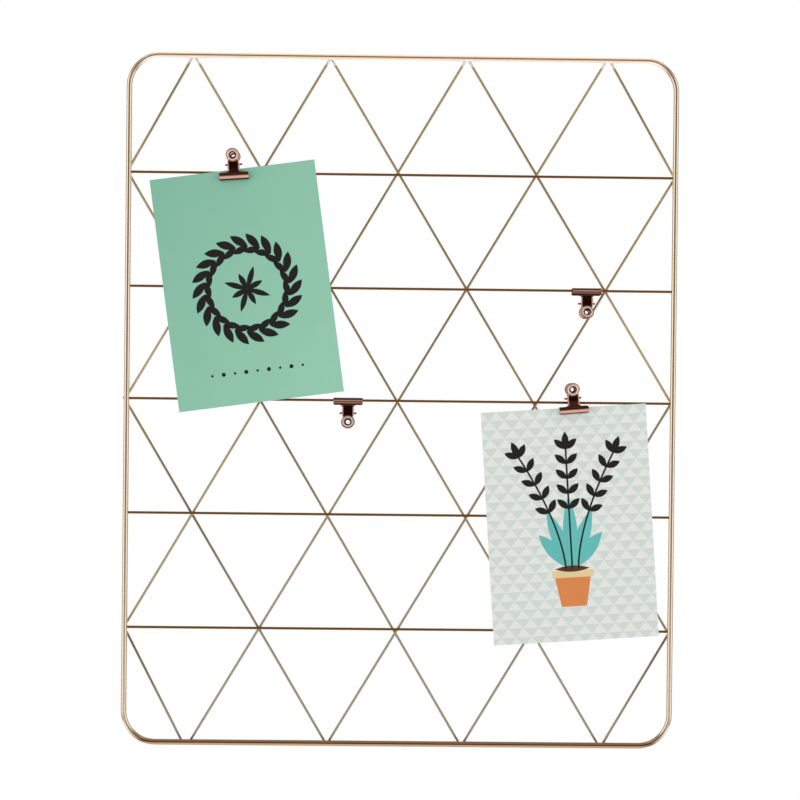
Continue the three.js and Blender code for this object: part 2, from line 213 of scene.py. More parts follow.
def platedMetal(name, finish):
    material, tree, shader, place = newMaterial(name)
    cloudScale, markScale = finish["scales"]
    wear = addGroup(tree, platingTree, place, Cloud=cloudScale, Marks=markScale)
    clouds = mapRange(tree, wear["Cloud"], target=plating["cloudShare"])
    tree.links.new(mixColour(tree, clouds, finish["pale"], finish["deep"]), shader.inputs["Base Color"])
    tree.links.new(mapRange(tree, wear["Marks"], target=finish["rough"]), shader.inputs["Roughness"])
    addBump(tree, shader, wear["Marks"], finish["bump"], plating["markDepth"])
    shader.inputs["Metallic"].default_value = 1
    for tone, limits in finish.get("bands", ()):
        split = addNode(tree, "ShaderNodeSeparateXYZ", Vector=place)
        toneOver(tree, smoothMask(tree, split.outputs[2], limits), tone)
    if "paintedShade" in finish:
        # painted shade: the plates are darker along the lip, above the jaw, on the neck and in the eyelet
        shade = tree.nodes.new("ShaderNodeAttribute")
        shade.attribute_name = "shade"
        toneOver(tree, shade.outputs["Fac"], finish["paintedShade"])
    return material


metals = {name: platedMetal(name, finish) for name, finish in finishes.items()}
print("metal finishes ready")

joining = {"mergeWithin": 0.002, "sharpFrom": 35}  # for every piece, in millimetres and degrees


def makePiece(bm, name, body, materials, replaced=()):
    bmesh.ops.remove_doubles(bm, verts=bm.verts, dist=joining["mergeWithin"])
    bmesh.ops.recalc_face_normals(bm, faces=bm.faces)
    bmesh.ops.scale(bm, vec=(mm, mm, mm), verts=bm.verts)
    mesh = bpy.data.meshes.new(name)
    bm.to_mesh(mesh)
    bm.free()
    for material in materials:
        mesh.materials.append(material)
    mesh.shade_smooth()
    mesh.set_sharp_from_angle(angle=math.radians(joining["sharpFrom"]))
    piece = bpy.data.objects.new(name, mesh)
    scene.collection.objects.link(piece)
    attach(piece, body)
    if replaced:
        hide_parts(*replaced)


def vertsOf(result):
    return [part for part in result["geom"] if isinstance(part, bmesh.types.BMVert)]


def edgesOf(result, key="geom"):
    return [part for part in result[key] if isinstance(part, bmesh.types.BMEdge)]


def edgesAt(verts):
    return list(dict.fromkeys(e for v in verts for e in v.link_edges))


def withVerts(edges):
    return edges + list(dict.fromkeys(v for e in edges for v in e.verts))


def pullEdges(bm, edges, move=(0, 0, 0)):
    result = bmesh.ops.extrude_edge_only(bm, edges=edges)
    bmesh.ops.translate(bm, vec=move, verts=vertsOf(result))
    return edgesOf(result)


# frame rod: a round section drawn along the bars and spun round the corners
rod = {"width": 350, "height": 438.7, "thickness": 3.6, "cornerRadius": 20, "sides": 24, "cornerSteps": 16}
halfX = (rod["width"] - rod["thickness"]) / 2
topZ = rod["thickness"] / 2
bottomZ = topZ - (rod["height"] - rod["thickness"])


def buildRod():
    bm = bmesh.new()
    radius = rod["cornerRadius"]
    place = Matrix.Translation((-halfX + radius, 0, topZ)) @ Matrix.Rotation(math.pi / 2, 4, "Y")
    bmesh.ops.create_circle(bm, segments=rod["sides"], radius=rod["thickness"] / 2, matrix=place)
    ring = list(bm.edges)
    across = 2 * (halfX - radius)
    down = topZ - bottomZ - 2 * radius
    corners = (
        ((across, 0, 0), (halfX - radius, 0, topZ - radius)),
        ((0, 0, -down), (halfX - radius, 0, bottomZ + radius)),
        ((-across, 0, 0), (-halfX + radius, 0, bottomZ + radius)),
        ((0, 0, down), (-halfX + radius, 0, topZ - radius)),
    )
    for run, centre in corners:
        ring = pullEdges(bm, ring, run)
        bend = bmesh.ops.spin(
            bm, geom=withVerts(ring), cent=centre, axis=(0, 1, 0), angle=math.pi / 2,
            steps=rod["cornerSteps"], use_duplicate=False,
        )
        ring = edgesOf(bend, "geom_last")
    makePiece(bm, "frameRod", "grid", [metals["rodCopper"]], ["frame_rod"])


buildRod()
print("frame rod built")

# lattice: rows in front, rising diagonals behind them, falling ones at the back
lattice = {
    "wire": 1.6, "sides": 18, "columns": 4, "rows": 6, "topRowExtra": 1.3, "shift": -1.8, "weldGap": 0.1,
    "tail": 0.9, "longTail": 2.75, "longTailed": 2, "endRound": 0.3,
    "rowSlip": (-0.4, -0.25, 0.9, 0.75, 0.35),  # how far above its line each row was welded
    # how far to the right of its line each diagonal was welded, at its upper and its lower end
    "risingSlip": ((-2.6, 0.4), (-2, 0.2), (-2.6, 1), (-0.2, 0.3), (2, 1.5), (0.6, 0.8), (2, 3.1)),
    "fallingSlip": ((0.6, -5.4), (0.2, -0.7), (0.6, -1.8), (0, 0.3), (-0.3, 0.8), (0.5, 2.3), (4.4, 2)),
}
pitch = 2 * halfX / lattice["columns"]
rowPitch = (topZ - bottomZ - lattice["topRowExtra"]) / lattice["rows"]
risingY = rod["thickness"] / 2 + lattice["weldGap"] + lattice["wire"] / 2
rowY = risingY - lattice["wire"] - lattice["weldGap"]
fallingY = risingY + lattice["wire"] + lattice["weldGap"]


def rowZ(row):
    return bottomZ + (lattice["rows"] - row) * rowPitch


def rowWireZ(row):
    return rowZ(row) + lattice["rowSlip"][row - 1]


def crossingX(column):
    return -halfX + lattice["shift"] + column * pitch


def buildWire(name, start, end, depth, metal):
    bm = bmesh.new()
    run = Vector((end[0] - start[0], 0, end[1] - start[1]))
    middle = Vector(((start[0] + end[0]) / 2, depth, (start[1] + end[1]) / 2))
    place = Matrix.Translation(middle) @ Matrix.Rotation(math.atan2(run.x, run.z), 4, "Y")
    radius = lattice["wire"] / 2
    bmesh.ops.create_cone(
        bm, cap_ends=True, segments=lattice["sides"], radius1=radius, radius2=radius, depth=run.length,
    )
    rims = [e for e in bm.edges if abs(e.verts[0].co.z - e.verts[1].co.z) < slack]
    bmesh.ops.bevel(
        bm, geom=rims, offset=lattice["endRound"], segments=2, profile=0.5, affect="EDGES", material=-1,
    )
    bmesh.ops.transform(bm, matrix=place, verts=bm.verts)
    makePiece(bm, name.replace("_wire_", "Wire"), "grid", [metals[metal]], [name])


def diagonalRun(x, sideways, leftTail):
    # how far below the lattice's top line a diagonal starts and stops
    leftDrop = (-halfX - leftTail - x) / sideways
    rightDrop = (halfX + lattice["tail"] - x) / sideways
    first = max(rowZ(0) - topZ - lattice["tail"], min(leftDrop, rightDrop))
    last = min(rowZ(0) - bottomZ + lattice["tail"], max(leftDrop, rightDrop))
    return first, last


def buildDiagonal(name, x, slant, depth, leftTail, slip):
    even = slant * pitch / 2 / rowPitch  # sideways for each millimetre down
    first, last = diagonalRun(x, even, leftTail)
    lean = (slip[1] - slip[0]) / (last - first)
    sideways = even + lean
    top = x + slip[0] - lean * first
    run = diagonalRun(top, sideways, leftTail)
    ends = [(top + sideways * drop, rowZ(0) - drop) for drop in run]
    buildWire(name, *ends, depth, "wireCopper")
    return {"top": top, "sideways": sideways, "first": run[0], "last": run[1]}


rowEnd = halfX - rod["thickness"] / 2 - lattice["weldGap"]
rowLevels = [rowWireZ(row) for row in range(1, lattice["rows"])]
for i, z in enumerate(rowLevels):
    buildWire(f"row_wire_{i + 1}", (-rowEnd, z), (rowEnd, z), rowY, "rowCopperPaintedReflection")
risers = []
fallers = []
for i, (up, down) in enumerate(zip(lattice["risingSlip"], lattice["fallingSlip"])):
    x = crossingX(i + 0.5)
    risers.append(buildDiagonal(f"rising_wire_{i + 1}", x, -1, risingY, lattice["tail"], up))
    tail = lattice["longTail"] if i + 1 == lattice["longTailed"] else lattice["tail"]
    x = crossingX(i + 0.5 - lattice["rows"] / 2)
    fallers.append(buildDiagonal(f"falling_wire_{i + 1}", x, 1, fallingY, tail, down))
print("lattice wires built")

# welds: small beads squeezed out where two wires touch, smaller ones where a row meets the frame
weld = {
    "long": 1.25, "short": 0.75, "deep": 0.5, "fineness": 2,
    "endLong": 0.9, "endShort": 0.5, "endInset": 0.1,
}


def addBead(bm, centre, across, upright):
    place = Matrix.Translation(centre) @ Matrix.Diagonal((across, weld["deep"], upright, 1))
    bmesh.ops.create_icosphere(bm, subdivisions=weld["fineness"], radius=1, matrix=place)


def buildWelds():
    bm = bmesh.new()
    long, short = weld["long"], weld["short"]
    frontJoin = (rowY + risingY) / 2
    backJoin = (risingY + fallingY) / 2
    barJoin = (rod["thickness"] + lattice["weldGap"]) / 2
    for riser in risers:
        for z in [topZ, *rowLevels, bottomZ]:
            drop = rowZ(0) - z
            x = riser["top"] + riser["sideways"] * drop
            if not riser["first"] < drop < riser["last"] or abs(x) > rowEnd:
                continue
            if z in rowLevels:
                addBead(bm, (x, frontJoin, z), long, short)
            else:
                addBead(bm, (x, barJoin, z), short, long)
        for faller in fallers:
            drop = (faller["top"] - riser["top"]) / (riser["sideways"] - faller["sideways"])
            x = riser["top"] + riser["sideways"] * drop
            starts = max(riser["first"], faller["first"]) + long
            stops = min(riser["last"], faller["last"]) - long
            if starts < drop < stops and abs(x) < rowEnd:
                addBead(bm, (x, backJoin, rowZ(0) - drop), short, long)
    for z in rowLevels:
        for side in (-1, 1):
            centre = (side * (rowEnd - weld["endInset"]), rowY, z)
            addBead(bm, centre, weld["endShort"], weld["endLong"])
    makePiece(bm, "weldBeads", "grid", [metals["weldCopper"]])


buildWelds()
print("welds built")

# clip plates: a flat blank of jaw, neck and ring, bent to its side profile and given its thickness.
# Plate axes: x along the pin, y outwards, z up to the ring. On the blank, y runs from lip to ring.
plate = {
    "sheet": 0.5, "edgeRound": 0.1, "edgeFrom": 1.0, "profileStep": 0.1,
    "jawWidth": 18.5, "jawInner": 2.25, "jawOut": 0.9, "jawDrop": 7.15, "jawCorner": 1, "lipAngle": -107.46,
    "jawColumns": 36, "jawRows": 16, "waistAngle": 45, "waistBend": 0.8,
    "neckLean": 8.9, "neckDepth": 2.865, "neckSettle": 3, "neckColumns": 20, "neckRows": 16,
    "footZ": -1.6, "flare": 1, "flareShare": 0.25, "ringFrom": 0.55,  # shares of the neck's length
    "foldRadius": 1.1, "foldStart": (0.6, 2.2), "foldStop": (-4.6, -3.0),  # from the jaw, from the ring
    "handleBend": 1, "handleSplay": 20, "handleLength": 12, "bendRadius": 1.2,
    "ringHeight": 5.5, "ringRadius": 4.25, "holeRadius": 2.25, "ringSteps": (0.85, 0.7), "ringSides": 72,
    "ringJoin": 0.02, "earReach": 1.6, "earHole": 0.58, "earSink": 0.1, "earSides": 24,
}
# the painted shade of a plate: how softly it ends at the jaw, and what stays bright round ring and fold
plateShade = {"jawSoft": (0, 0.07), "lipSoft": (-0.1, 0), "ringClear": (3.7, 4.1), "foldClear": (0.2, 0.5)}


def sideProfile():
    # heading from straight up towards outwards, for each stretch: length, first and last angle
    lean = plate["neckLean"]
    splay = plate["handleSplay"]
    jawLength = plate["jawInner"] * math.radians(plate["waistAngle"] - plate["lipAngle"])
    footLength = plate["bendRadius"] * math.radians(lean)
    splayLength = plate["bendRadius"] * math.radians(splay)
    stretches = [
        (jawLength, -plate["lipAngle"], -plate["waistAngle"]),
        (plate["waistBend"] * math.radians(plate["waistAngle"] + lean), -plate["waistAngle"], lean),
        (None, lean, lean),  # as long as the neck's foot needs
        (footLength, lean, 0),
        (plate["handleBend"] - plate["footZ"] - (footLength + splayLength) / 2, 0, 0),
        (splayLength, 0, splay),
        (plate["handleLength"], splay, splay),
    ]
    start = math.radians(plate["lipAngle"])
    y = plate["jawOut"] + plate["jawInner"] * math.cos(start)
    z = -plate["jawDrop"] + plate["jawInner"] * math.sin(start)
    points = [(0, y, z)]
    s = 0
    for length, first, last in stretches:
        if length is None:
            length = (plate["footZ"] - footLength / 2 - z) / math.cos(math.radians(lean))
        steps = max(2, round(length / plate["profileStep"]))
        for i in range(steps):
            angle = math.radians(first + (last - first) * (i + 0.5) / steps)
            y += length / steps * math.sin(angle)
            z += length / steps * math.cos(angle)
            s += length / steps
            points.append((s, y, z))
    return points, jawLength


profile, jawLength = sideProfile()
neckShift = plate["neckDepth"] - min(profile, key=lambda p: abs(p[2]))[1]  # to the plate's true depth
ringS = next(s for s, y, z in profile if z >= plate["ringHeight"])


def alongProfile(s):
    before, after = next(pair for pair in zip(profile, profile[1:]) if s <= pair[1][0])
    share = (s - before[0]) / (after[0] - before[0])
    y = before[1] + (after[1] - before[1]) * share
    z = before[2] + (after[2] - before[2]) * share
    rise = Vector((after[1] - before[1], after[2] - before[2])).normalized()
    return y, z, rise


def eased(value, low, high):
    share = min(max((value - low) / (high - low), 0), 1)
    return share * share * (3 - 2 * share)


def bendBlank(bm, half, sheen):
    # the sides of the neck fold back a little, and the whole blank takes the side profile
    radius = plate["foldRadius"]
    shade = bm.verts.layers.float.new("shade")
    for vert in bm.verts:
        x, s = vert.co.x, vert.co.y
        y, z, rise = alongProfile(s)
        fold = eased(s - jawLength, *plate["foldStart"]) * (1 - eased(s - ringS, *plate["foldStop"]))
        over = max(abs(x) - half + radius, 0) if fold > 0 else 0
        drop = fold * radius * (1 - math.cos(over / radius))
        inwards = fold * (over - radius * math.sin(over / radius))
        shift = neckShift * eased(s - jawLength, 0, plate["neckSettle"])
        share = s / jawLength
        # painted shade: dark from the bright band down to the lip and up the neck, but not round the ring
        # or on the folded sides
        lip = 1 - eased(share - sheen[0], *plateShade["lipSoft"])
        neck = eased(share - sheen[1], *plateShade["jawSoft"])
        neck *= eased(math.hypot(x, s - ringS), *plateShade["ringClear"])
        vert[shade] = lip + neck * (1 - eased(over, *plateShade["foldClear"]))
        vert.co = (math.copysign(abs(x) - inwards, x), y + shift - drop * rise.y, z + drop * rise.x)


def roundJawCorners(bm):
    inner = plate["jawWidth"] / 2 - plate["jawCorner"]
    below = jawLength - plate["jawCorner"]
    for vert in bm.verts:
        dx = abs(vert.co.x) - inner
        ds = vert.co.y - below
        if dx > 0 and ds > 0:
            keep = max(dx, ds) / math.hypot(dx, ds)
            vert.co.x = math.copysign(inner + dx * keep, vert.co.x)
            vert.co.y = below + ds * keep


def buildBlank(half):
    bm = bmesh.new()
    columns, ringRadius = plate["neckColumns"], plate["ringRadius"]
    bmesh.ops.create_grid(bm, x_segments=plate["jawColumns"], y_segments=plate["jawRows"], size=0.5)
    bmesh.ops.scale(bm, vec=(plate["jawWidth"], jawLength, 1), verts=bm.verts)
    bmesh.ops.translate(bm, vec=(0, jawLength / 2, 0), verts=bm.verts)
    roundJawCorners(bm)
    reach = plate["jawWidth"] * columns / plate["jawColumns"] / 2 + slack
    top = [
        e for e in bm.edges
        if all(v.co.y > jawLength - slack and abs(v.co.x) < reach for v in e.verts)
    ]
    # the neck narrows from its flared foot and ends on the lower arc of the ring
    step = 2 * math.pi / plate["ringSides"]
    neckLength = ringS - ringRadius - jawLength
    for row in range(1, plate["neckRows"] + 1):
        top = pullEdges(bm, top)
        share = row / plate["neckRows"]
        foot = half + plate["flare"] * (1 - eased(share, 0, plate["flareShare"]))
        towards = eased(share, plate["ringFrom"], 1)
        verts = sorted({v for e in top for v in e.verts}, key=lambda v: v.co.x)
        for i, vert in enumerate(verts):
            angle = -math.pi / 2 + step * (i - columns / 2)
            across = (2 * i / columns - 1) * foot
            vert.co.x = across + (ringRadius * math.cos(angle) - across) * towards
            vert.co.y = jawLength + neckLength * share + ringRadius * (1 + math.sin(angle)) * share ** 3
    ringPlace = Matrix.Translation((0, ringS, 0))
    ring = bmesh.ops.create_circle(bm, segments=plate["ringSides"], radius=ringRadius, matrix=ringPlace)
    edges = edgesAt(ring["verts"])
    for size in (*plate["ringSteps"], plate["holeRadius"] / ringRadius):
        result = bmesh.ops.extrude_edge_only(bm, edges=edges)
        edges = edgesOf(result)
        for vert in vertsOf(result):
            away = Vector((vert.co.x, vert.co.y - ringS, 0)).normalized() * ringRadius * size
            vert.co = (away.x, ringS + away.y, 0)
    bmesh.ops.remove_doubles(bm, verts=bm.verts, dist=plate["ringJoin"])
    return bm


def addEar(bm, x):
    turned = Matrix.Translation((x - plate["sheet"] / 2, 0, 0)) @ Matrix.Rotation(math.pi / 2, 4, "Y")
    outer, inner = (
        bmesh.ops.create_circle(bm, segments=plate["earSides"], radius=radius, matrix=turned)["verts"]
        for radius in (plate["earReach"], plate["earHole"])
    )
    for vert in outer:
        if vert.co.y > slack:
            vert.co.y = plate["neckDepth"] + plate["earSink"]
    faces = bmesh.ops.bridge_loops(bm, edges=edgesAt(outer + inner))["faces"]
    wall = bmesh.ops.extrude_face_region(bm, geom=faces)
    bmesh.ops.translate(bm, vec=(plate["sheet"], 0, 0), verts=vertsOf(wall))


# eyelet: a round rim on the outer face of the ring, and a throat that narrows through the hole; the throat
# and the rim's edges carry painted shade
eyelet = {
    "rimInside": 2.5, "rimOutside": 3.45, "rimHigh": 0.48, "archSteps": 8, "sides": 40,
    "throat": 1.45, "throatWiden": 0.1, "throatDeep": 0.2, "holeClear": 0.05, "holeDeep": 0.1,
    "darkInside": 2.6, "darkOutside": 3.4,
}


def addEyelet(bm):
    back = -plate["sheet"]
    middleR = (eyelet["rimInside"] + eyelet["rimOutside"]) / 2
    halfR = (eyelet["rimOutside"] - eyelet["rimInside"]) / 2
    steps = eyelet["archSteps"]
    arch = [math.pi * i / steps for i in range(steps, -1, -1)]
    hole = plate["holeRadius"] - eyelet["holeClear"]
    outline = [
        (eyelet["throat"], back), (eyelet["throat"] + eyelet["throatWiden"], -eyelet["throatDeep"]),
        *((middleR + halfR * math.cos(a), eyelet["rimHigh"] * math.sin(a)) for a in arch),
        (hole, -eyelet["holeDeep"]), (hole, back),
    ]
    y, z, rise = alongProfile(ringS)
    out = Vector((0, rise.y, -rise.x))
    middle = Vector((0, y + neckShift, z)) + out * plate["sheet"]
    shade = bm.verts.layers.float["shade"]
    verts = [bm.verts.new(middle + Vector((r, 0, 0)) + out * h) for r, h in outline]
    for vert, (r, h) in zip(verts, outline):
        # painted shade in the throat and at the rim's edges; the rim's crest stays bright
        vert[shade] = 0 if eyelet["darkInside"] <= r <= eyelet["darkOutside"] else 1
    edges = [bm.edges.new(pair) for pair in zip(verts, verts[1:] + verts[:1])]
    bmesh.ops.spin(
        bm, geom=verts + edges, cent=middle, axis=out, angle=2 * math.pi,
        steps=eyelet["sides"], use_merge=True,
    )


def buildPlate(name, body, place, ear, sheen, node):
    half = ear + plate["sheet"] / 2
    bm = buildBlank(half)
    bendBlank(bm, half, sheen)
    bmesh.ops.recalc_face_normals(bm, faces=bm.faces)
    neckFaces = [f for f in bm.faces if f.calc_center_median().z > plate["footZ"]]
    if sum(f.normal.y for f in neckFaces) > 0:
        bmesh.ops.reverse_faces(bm, faces=bm.faces)  # so that the sheet thickens outwards
    bmesh.ops.solidify(bm, geom=bm.faces, thickness=plate["sheet"])
    rims = [e for e in bm.edges if e.is_manifold and e.calc_face_angle() > plate["edgeFrom"]]
    bmesh.ops.bevel(
        bm, geom=rims, offset=plate["edgeRound"], segments=2, profile=0.5, affect="EDGES", material=-1,
    )
    for side in (-1, 1):
        addEar(bm, side * ear)
    plain = set(bm.faces)
    addEyelet(bm)
    for face in bm.faces:
        if face not in plain:
            face.material_index = 1
    bmesh.ops.transform(bm, matrix=place, verts=bm.verts)
    makePiece(bm, name, body, [metals["roseCopper"], metals["eyeletCopperPaintedHighlight"]], [node])


# hinge pin with riveted heads. The rounding has shares of the head's thickness, each at a depth.
pin = {
    "thick": 0.8, "headThick": 1.25, "headInside": 3.9, "headLength": 1.55, "sides": 20,
    "headRound": ((0, 0), (0.3, 0), (0.46, 0.12), (0.5, 0.3)),
}


def buildPin(name, body, place, node):
    bm = bmesh.new()
    inside = -pin["headInside"]
    end = inside - pin["headLength"]
    outline = [(pin["headThick"] * share, end + depth) for share, depth in pin["headRound"]]
    outline += [(pin["headThick"] / 2, inside), (pin["thick"] / 2, inside), (pin["thick"] / 2, 0)]
    verts = [bm.verts.new((x, 0, r)) for r, x in outline]
    edges = [bm.edges.new(pair) for pair in zip(verts, verts[1:])]
    bmesh.ops.spin(
        bm, geom=verts + edges, cent=(0, 0, 0), axis=(1, 0, 0), angle=2 * math.pi,
        steps=pin["sides"], use_merge=True,
    )
    half = bm.verts[:] + bm.edges[:] + bm.faces[:]
    bmesh.ops.mirror(bm, geom=half, axis="X", merge_dist=joining["mergeWithin"])
    bmesh.ops.transform(bm, matrix=place, verts=bm.verts)
    makePiece(bm, name, body, [metals["pinSteel"]], [node])


# torsion spring round the pin
spring = {"wire": 0.6, "coil": 3.5, "turns": 3, "width": 3.2, "leg": 3.6, "sides": 10, "stepsPerTurn": 24}


def startSpring(angle):
    # the closed end of the wire where the coil begins
    bm = bmesh.new()
    side = Matrix.Translation((-spring["width"] / 2, 0, 0))
    out = Matrix.Translation((0, spring["coil"] / 2, 0))
    place = side @ Matrix.Rotation(angle, 4, "X") @ out
    bmesh.ops.create_circle(bm, segments=spring["sides"], radius=spring["wire"] / 2, matrix=place)
    edges = list(bm.edges)
    bmesh.ops.contextual_create(bm, geom=edges)
    return bm, edges


def addLeg(bm, edges, angle, length):
    run = Matrix.Rotation(angle, 4, "X") @ Vector((0, 0, length))
    bmesh.ops.contextual_create(bm, geom=pullEdges(bm, edges, run))


def buildSpring(name, clip, place, openAngle, node):
    lean = math.radians(plate["handleSplay"]) - openAngle
    start = math.pi + lean
    end = 2 * math.pi * (spring["turns"] + 1) - lean
    steps = round(spring["turns"] * spring["stepsPerTurn"])
    bm, edges = startSpring(start)
    coil = bmesh.ops.spin(
        bm, geom=withVerts(edges), cent=(0, 0, 0), axis=(1, 0, 0), dvec=(spring["width"] / steps, 0, 0),
        angle=end - start, steps=steps,
    )
    addLeg(bm, edgesOf(coil, "geom_last"), end, spring["leg"])
    bmesh.ops.transform(bm, matrix=place, verts=bm.verts)
    makePiece(bm, name, clip, [metals["springSteel"]], [node])
    # the front leg goes with the front plate
    bm, edges = startSpring(start)
    addLeg(bm, edges, start, -spring["leg"])
    bmesh.ops.transform(bm, matrix=place, verts=bm.verts)
    makePiece(bm, name + "FrontLeg", f"{clip}_front", [metals["springSteel"]])


# each clip stands at its pin, turned in the plane of the grid, its plates held open by what they grip.
# The sheen is the bright band of the jaw, between painted shade at the lip and up the neck, as shares of
# the way from its lip; spare clips hang the other way up and have their own.
grip = {"card": 0.35, "seat": 0.3}
cardY = rowY - lattice["wire"] / 2 - grip["seat"] - grip["card"] / 2
cardJaw = {"open": 1.9536, "sheen": (0.44, 0.68)}
spareJaw = {"open": 0, "sheen": (0.585, 0.735)}
clips = {
    "left_card_clip": {"pin": (-106.9, cardY, -67.1), "tilt": 4, "jaw": cardJaw},
    "right_card_clip": {"pin": (109.6, cardY, -212.62), "tilt": 5, "jaw": cardJaw},
    "upper_spare_clip": {"pin": (117.75, rowY, -152.546), "tilt": 180, "jaw": spareJaw},
    "lower_spare_clip": {"pin": (-33.0, rowY, -223.696), "tilt": 180, "jaw": spareJaw},
}
ears = {"front": 3.4, "rear": 2.65}  # from the middle of the pin


def buildClip(clip, pose):
    label = "".join(word.capitalize() if i else word for i, word in enumerate(clip.split("_")))
    place = Matrix.Translation(pose["pin"]) @ Matrix.Rotation(-math.radians(pose["tilt"]), 4, "Y")
    angle = math.radians(pose["jaw"]["open"])
    sheen = pose["jaw"]["sheen"]
    rear = place @ Matrix.Rotation(angle, 4, "X")
    front = place @ Matrix.Rotation(-angle, 4, "X") @ Matrix.Rotation(math.pi, 4, "Z")
    buildPlate(label + "FrontPlate", clip + "_front", front, ears["front"], sheen, clip + "_front_plate")
    buildPlate(label + "RearPlate", clip, rear, ears["rear"], sheen, clip + "_rear_plate")
    buildPin(label + "Pin", clip, place, clip + "_pin")
    buildSpring(label + "Spring", clip, place, angle, clip + "_spring")


for clip, pose in clips.items():
    buildClip(clip, pose)
print("clips built")

# cards: slightly bowed board, printed in front
card = {
    "width": 105, "height": 148, "thick": grip["card"], "columns": 14, "rows": 20,
    "bow": 0.8, "flatter": 0.3,  # the bow is less by this share at the sides
}
cards = {
    "left_card": {"piece": "mintCard", "slot": "mint_card", "tilt": 7.9},
    "right_card": {"piece": "triangleCard", "slot": "pale_card", "tilt": 3.9},
}
inks = {
    "mint": (0.300, 0.595, 0.432), "mintDeep": (0.228, 0.492, 0.362), "board": (0.86, 0.85, 0.82),
    "pale": (0.785, 0.795, 0.765), "paleTriangle": (0.615, 0.700, 0.645), "black": (0.012, 0.011, 0.010),
    "teal": (0.14, 0.56, 0.52), "orange": (0.80, 0.27, 0.08), "cream": (0.86, 0.68, 0.36),
    "brown": (0.10, 0.04, 0.02),
}
paper = {
    "boardRough": 0.8, "mintRough": 0.72, "inkRough": 0.62, "roughSpread": 0.08,
    "boardDim": 0.94, "inkDim": 0.8,  # how far the second tone is darkened
    "scales": (45, 2400), "mottle": (-0.1, 1.1), "fade": (-0.03, 1.09), "fadeMottle": (-0.18, 0.18),
    "fibreBump": 0.06, "fibreDepth": 0.00005, "specular": 0.25,
}
triangles = {
    "high": 5.75, "wide": 9.7, "edge": (-0.05, 0.05), "inkShare": (0.55, 1.25), "mottleScale": 120,
    "rough": 0.7,
}


def cardShares(tree):
    # shares of the card's width from its left and of its height from its top
    uv = tree.nodes.new("ShaderNodeUVMap")
    uv.uv_map = "cardMap"
    split = addNode(tree, "ShaderNodeSeparateXYZ", Vector=uv.outputs[0])
    return split.outputs[0], mathNode(tree, "SUBTRACT", 1, split.outputs[1])


def boardNoise(tree, place, mottleScale=paper["scales"][0]):
    return addGroup(tree, boardTree, place, Mottle=mottleScale, Fibre=paper["scales"][1])


def finishPaper(tree, shader, colour, fibre, roughness):
    limits = (roughness - paper["roughSpread"], roughness + paper["roughSpread"])
    tree.links.new(colour, shader.inputs["Base Color"])
    tree.links.new(mapRange(tree, fibre, target=limits), shader.inputs["Roughness"])
    addBump(tree, shader, fibre, paper["fibreBump"], paper["fibreDepth"])
    shader.inputs["Specular IOR Level"].default_value = paper["specular"]


def paperMaterial(name, first, second, roughness, graded=False):
    material, tree, shader, place = newMaterial(name)
    board = boardNoise(tree, place)
    if graded:  # the front is darker at the upper left and paler towards the lower right
        fade = mathNode(tree, "MULTIPLY", mathNode(tree, "ADD", *cardShares(tree)), 0.5)
        mottle = mapRange(tree, board["Mottle"], target=paper["fadeMottle"])
        share = mathNode(tree, "ADD", mottle, mapRange(tree, fade, target=paper["fade"]))
    else:
        share = mapRange(tree, board["Mottle"], target=paper["mottle"])
    finishPaper(tree, shader, mixColour(tree, share, first, second), board["Fibre"], roughness)
    return material


def trianglePrint():
    # rows of triangles that point down, each row half a triangle along from the one above
    material, tree, shader, place = newMaterial("trianglePrint")
    fromLeft, fromTop = cardShares(tree)
    down = mathNode(tree, "MULTIPLY", fromTop, card["height"] / triangles["high"])
    across = mathNode(tree, "MULTIPLY", fromLeft, card["width"] / triangles["wide"])
    row = mathNode(tree, "FLOOR", down)
    step = mathNode(tree, "MULTIPLY", mathNode(tree, "MODULO", row, 2), 0.5)
    along = mathNode(tree, "FRACT", mathNode(tree, "ADD", across, step))
    away = mathNode(tree, "MULTIPLY", mathNode(tree, "ABSOLUTE", mathNode(tree, "SUBTRACT", along, 0.5)), 2)
    narrowing = mathNode(tree, "SUBTRACT", 1, mathNode(tree, "FRACT", down))
    inside = mapRange(tree, mathNode(tree, "SUBTRACT", narrowing, away), source=triangles["edge"])
    board = boardNoise(tree, place, triangles["mottleScale"])
    inked = mapRange(tree, board["Mottle"], target=triangles["inkShare"])
    strength = mathNode(tree, "MULTIPLY", inside, inked)
    colour = mixColour(tree, strength, inks["pale"], inks["paleTriangle"])
    finishPaper(tree, shader, colour, board["Fibre"], triangles["rough"])
    return material


def dimmed(colour, share):
    return tuple(value * share for value in colour)


boardTones = inks["board"], dimmed(inks["board"], paper["boardDim"])
cardBoard = paperMaterial("cardBoard", *boardTones, paper["boardRough"])
mintPrint = paperMaterial("mintPrint", inks["mintDeep"], inks["mint"], paper["mintRough"], True)
inkPrints = {
    name: paperMaterial(name + "Ink", inks[name], dimmed(inks[name], paper["inkDim"]), paper["inkRough"])
    for name in ("black", "teal", "orange", "cream", "brown")
}


def bowed(u, v):
    # the free end of a card bows a little towards the viewer
    low = min(max((card["height"] / 2 - v) / card["height"], 0), 1)
    return -card["bow"] * low * low * (1 - card["flatter"] * (2 * u / card["width"]) ** 2)


def cardPlace(node):
    low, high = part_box(node)
    middle = (low + high) / 2 / mm
    return Matrix.Translation(middle) @ Matrix.Rotation(-math.radians(cards[node]["tilt"]), 4, "Y")


